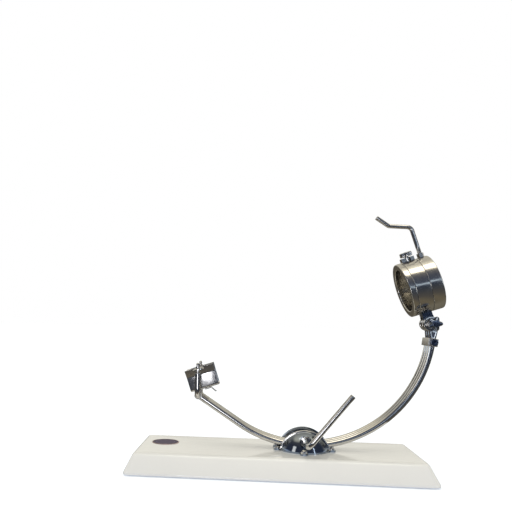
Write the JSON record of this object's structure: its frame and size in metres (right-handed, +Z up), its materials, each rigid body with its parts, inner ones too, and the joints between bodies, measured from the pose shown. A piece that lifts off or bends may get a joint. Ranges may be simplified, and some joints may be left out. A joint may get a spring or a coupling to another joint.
{
  "type": "ham holder stand",
  "caption": "Ham carving stand: white board, curved rod arch sliding in a domed lever clamp, tilting cradle for the meat, and a turning shank ring with crank.",
  "frame": {"origin": "middle of the whole stand's footprint box, on the surface that the rubber feet rest on", "axes": "+X along the board towards the shank ring, -Y towards the side that carries the clamp lever, +Z up"},
  "size_m": [0.5088, 0.2, 0.4222],
  "materials": {
    "white_lacquer": "gloss lacquer",
    "bright_steel": "polished stainless steel",
    "mirror_steel": "mirror-polished stainless steel",
    "brushed_steel": "turned and brushed stainless steel",
    "satin_steel": "satin machined metal",
    "sheet_steel": "polished folded sheet",
    "screw_steel": "machined fasteners",
    "nylon": "natural nylon",
    "rubber": "soft moulded rubber",
    "badge_enamel": "dark enamel"
  },
  "bodies": {
    "base": {"base_board": "white_lacquer", "rubber_feet": "rubber", "foot_screws": "screw_steel", "badge_disc": "badge_enamel", "badge_rim": "satin_steel", "clamp_plate": "mirror_steel", "plate_screws": "screw_steel", "plate_cap_nuts": "bright_steel", "front_cheek": "mirror_steel", "rear_cheek": "mirror_steel", "front_jaw_plate": "bright_steel", "rear_jaw_plate": "bright_steel", "cheek_bolts": "screw_steel", "rod_spacers": "nylon", "clamp_nut": "bright_steel", "lever_washer": "bright_steel"},
    "lever": {"clamp_lever": "bright_steel"},
    "arch": {"arch_rod_front": "bright_steel", "arch_rod_middle": "bright_steel", "arch_rod_rear": "bright_steel", "rod_collar": "satin_steel", "collar_screw": "screw_steel", "pivot_bolt": "screw_steel", "pivot_washers": "screw_steel", "pivot_spacer": "satin_steel", "fork": "bright_steel", "fork_carrier": "satin_steel", "prong_tips": "bright_steel", "stop_discs": "bright_steel"},
    "cradle": {"saddle": "sheet_steel", "saddle_pin": "screw_steel", "pin_collars": "screw_steel", "saddle_tail": "bright_steel"},
    "knob_seat": {"knob_washer": "screw_steel"},
    "knob": {"star_knob": "bright_steel"},
    "head": {"fixed_ring": "brushed_steel", "nylon_bush": "nylon", "lock_boss": "brushed_steel", "ring_bracket": "satin_steel"},
    "spool": {"rotating_spool": "brushed_steel", "retaining_flange": "brushed_steel", "flange_screws": "screw_steel", "grip_points": "screw_steel", "crank_nut": "screw_steel"},
    "pad": {"clamp_pad": "satin_steel"},
    "crank": {"crank_screw": "bright_steel"},
    "thumb_seat": {"thumb_screw_tip": "screw_steel"},
    "thumb": {"thumb_screw": "bright_steel"}
  },
  "joints": [
    {"name": "arch_tilt", "type": "hinge", "parent": "base", "child": "arch", "pos_m": [0.0341, 0, 0.243], "axis": [0, -1, 0], "range_deg": [-35, 18]},
    {"name": "lever_turn", "type": "hinge", "parent": "base", "child": "lever", "pos_m": [0.0326, 0, 0.0502], "axis": [0, -1, 0], "range_deg": [-45, 35]},
    {"name": "saddle_tilt", "type": "hinge", "parent": "arch", "child": "cradle", "pos_m": [-0.1444, 0, 0.141], "axis": [0, -1, 0], "range_deg": [-18, 3]},
    {"name": "ring_pivot", "type": "hinge", "parent": "arch", "child": "head", "pos_m": [0.2325, 0, 0.245], "axis": [0, -1, 0], "range_deg": [-30, 30]},
    {"name": "knob_travel", "type": "slide", "parent": "arch", "child": "knob_seat", "axis": [0, -1, 0], "range_m": [0, 0.0025]},
    {"name": "knob_turn", "type": "hinge", "parent": "knob_seat", "child": "knob", "pos_m": [0.2325, 0, 0.245], "axis": [0, -1, 0], "range_deg": [0, 721]},
    {"name": "ring_spin", "type": "hinge", "parent": "head", "child": "spool", "pos_m": [0.21573, 0, 0.30623], "axis": [0.9511, 0, 0.309], "range_deg": [-140, 140]},
    {"name": "pad_travel", "type": "slide", "parent": "spool", "child": "pad", "axis": [0.309, 0, -0.9511], "range_m": [-0.00413, 0.015]},
    {"name": "crank_turn", "type": "hinge", "parent": "pad", "child": "crank", "pos_m": [0.21112, 0, 0.37834], "axis": [0.309, 0, -0.9511], "range_deg": [-991, 3601]},
    {"name": "tip_travel", "type": "slide", "parent": "head", "child": "thumb_seat", "axis": [-0.309, 0, 0.9511], "range_m": [0, 0.0025]},
    {"name": "thumb_turn", "type": "hinge", "parent": "thumb_seat", "child": "thumb", "pos_m": [0.19502, 0, 0.35734], "axis": [-0.309, 0, 0.9511], "range_deg": [0, 721]}
  ],
  "couplings": [
    {"joint": "knob_turn", "follows": "knob_travel", "rad_per_m": 5026.5},
    {"joint": "crank_turn", "follows": "pad_travel", "rad_per_m": 4188.8},
    {"joint": "thumb_turn", "follows": "tip_travel", "rad_per_m": 5026.5}
  ]
}
